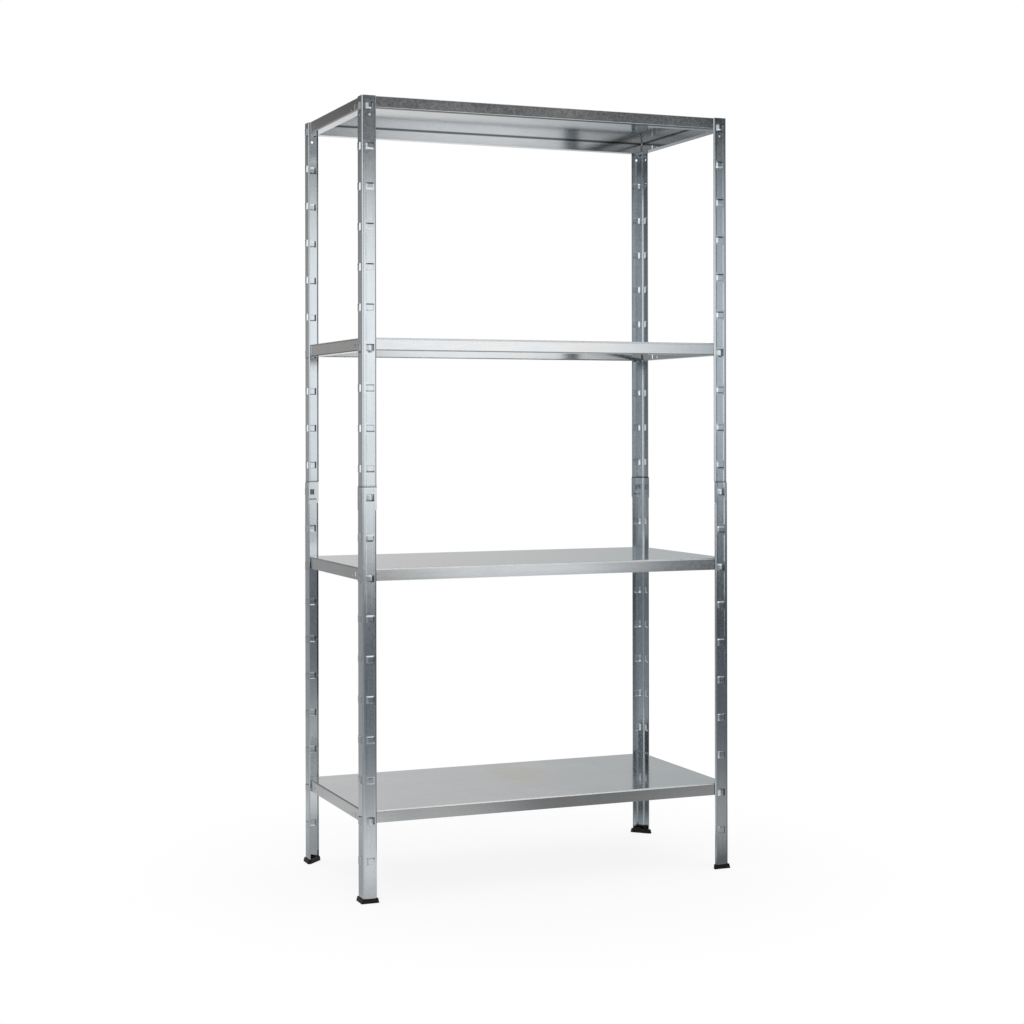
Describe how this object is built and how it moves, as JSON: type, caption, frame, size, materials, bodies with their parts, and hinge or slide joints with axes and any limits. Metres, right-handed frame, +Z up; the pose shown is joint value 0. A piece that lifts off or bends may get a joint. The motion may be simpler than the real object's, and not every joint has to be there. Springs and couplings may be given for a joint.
{
  "type": "boltless shelving unit",
  "caption": "Tall free-standing galvanised shelving unit: folded pan shelves hook into pressed loops on two-part angle posts with plastic feet.",
  "frame": {"origin": "on the floor, in the middle of the four feet", "axes": "+Z up, +X to the right as seen from the front, +Y to the back, so the front is at -Y"},
  "size_m": [0.8234, 0.4154, 1.6],
  "materials": {
    "galvanised_steel": "galvanised, satin, faint mottling",
    "black_plastic": "moulded, matt"
  },
  "bodies": {
    "frame": {"lower_post_front_left": "galvanised_steel", "lower_post_front_right": "galvanised_steel", "lower_post_back_left": "galvanised_steel", "lower_post_back_right": "galvanised_steel", "upper_post_front_left": "galvanised_steel", "upper_post_front_right": "galvanised_steel", "upper_post_back_left": "galvanised_steel", "upper_post_back_right": "galvanised_steel", "foot_front_left": "black_plastic", "foot_front_right": "black_plastic", "foot_back_left": "black_plastic", "foot_back_right": "black_plastic"},
    "shelf_top_pan": {"shelf_top": "galvanised_steel"},
    "shelf_upper_middle_pan": {"shelf_upper_middle": "galvanised_steel"},
    "shelf_lower_middle_pan": {"shelf_lower_middle": "galvanised_steel"},
    "shelf_bottom_pan": {"shelf_bottom": "galvanised_steel"}
  },
  "joints": [
    {"name": "shelf_top_lift", "type": "slide", "parent": "frame", "child": "shelf_top_pan", "axis": [0, 0, 1], "range_m": [0, 0.013]},
    {"name": "shelf_upper_middle_lift", "type": "slide", "parent": "frame", "child": "shelf_upper_middle_pan", "axis": [0, 0, 1], "range_m": [0, 0.013]},
    {"name": "shelf_lower_middle_lift", "type": "slide", "parent": "frame", "child": "shelf_lower_middle_pan", "axis": [0, 0, 1], "range_m": [0, 0.013]},
    {"name": "shelf_bottom_lift", "type": "slide", "parent": "frame", "child": "shelf_bottom_pan", "axis": [0, 0, 1], "range_m": [0, 0.013]}
  ]
}
